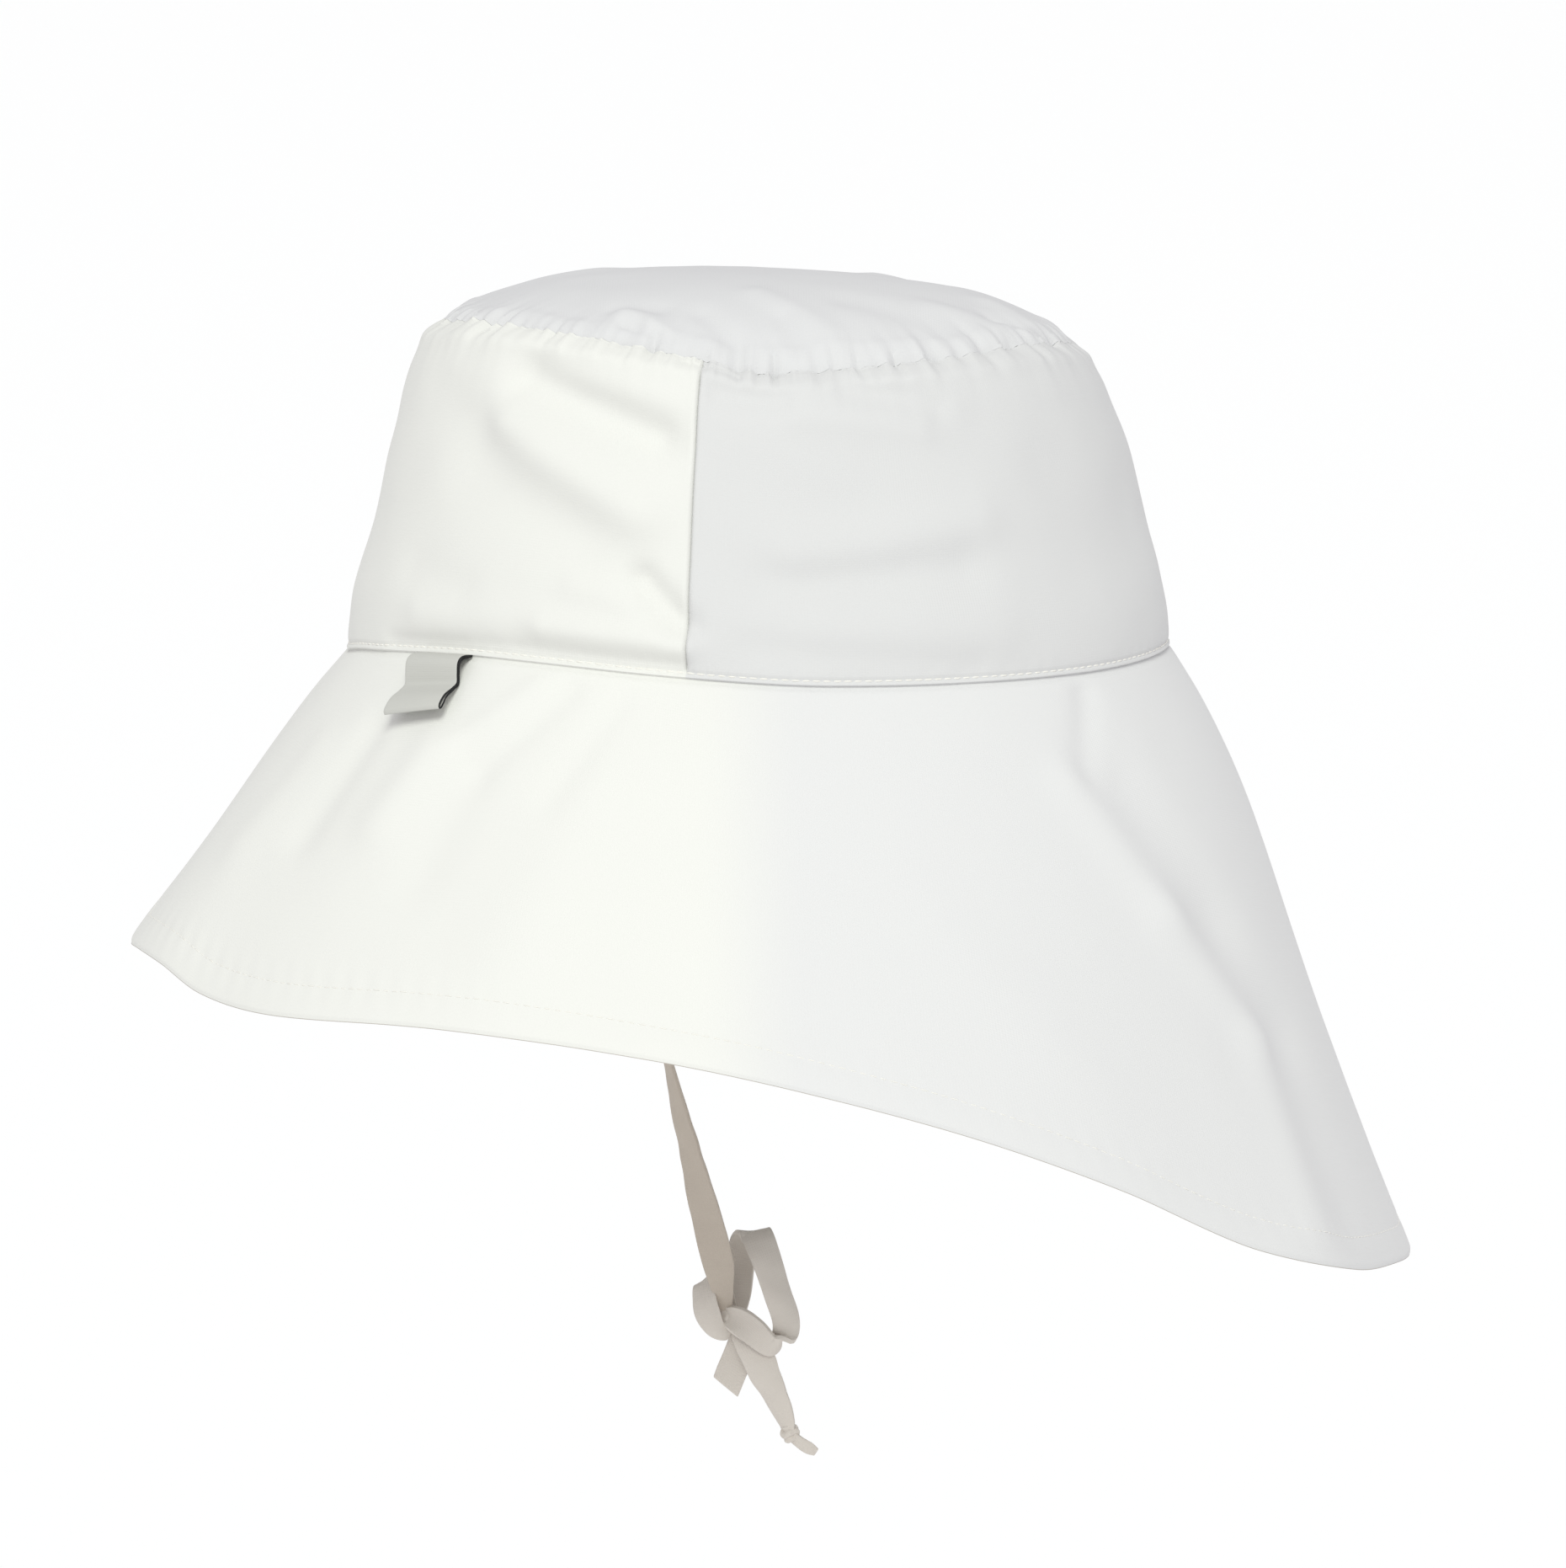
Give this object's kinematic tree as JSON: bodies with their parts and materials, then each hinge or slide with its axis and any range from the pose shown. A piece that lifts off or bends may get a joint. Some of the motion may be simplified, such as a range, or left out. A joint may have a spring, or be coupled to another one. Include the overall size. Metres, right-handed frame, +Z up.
{
  "type": "flap sun hat",
  "caption": "Baby's cotton sun hat with a domed bucket crown, a wide brim that runs down into a neck flap, a side tag and chin ties in a bow.",
  "frame": {"origin": "the middle of the head opening, in the plane of the seam between crown and brim, where the hat sits on a head", "axes": "+Z up out of the crown, -Y towards the front of the brim, +Y towards the neck flap, +X towards the wearer's left"},
  "size_m": [0.216, 0.2562, 0.2389],
  "materials": {
    "tip_cloth": "matte off-white cotton poplin",
    "front_panel_cloth": "matte off-white cotton poplin",
    "back_panel_cloth": "matte off-white cotton poplin",
    "brim_cloth": "matte off-white cotton poplin, two layers",
    "tag_cloth": "matte pale grey woven ribbon",
    "tie_cloth": "matte off-white cotton strip"
  },
  "bodies": {
    "root": {"crown_tip": "tip_cloth", "crown_front_panel": "front_panel_cloth", "crown_back_panel": "back_panel_cloth", "brim_neck_flap": "brim_cloth", "side_tag": "tag_cloth", "chin_tie_left": "tie_cloth", "chin_tie_right": "tie_cloth", "bow_knot": "tie_cloth", "bow_loop_large": "tie_cloth", "bow_loop_small": "tie_cloth", "tie_end_short": "tie_cloth", "tie_end_long": "tie_cloth"}
  },
  "joints": []
}
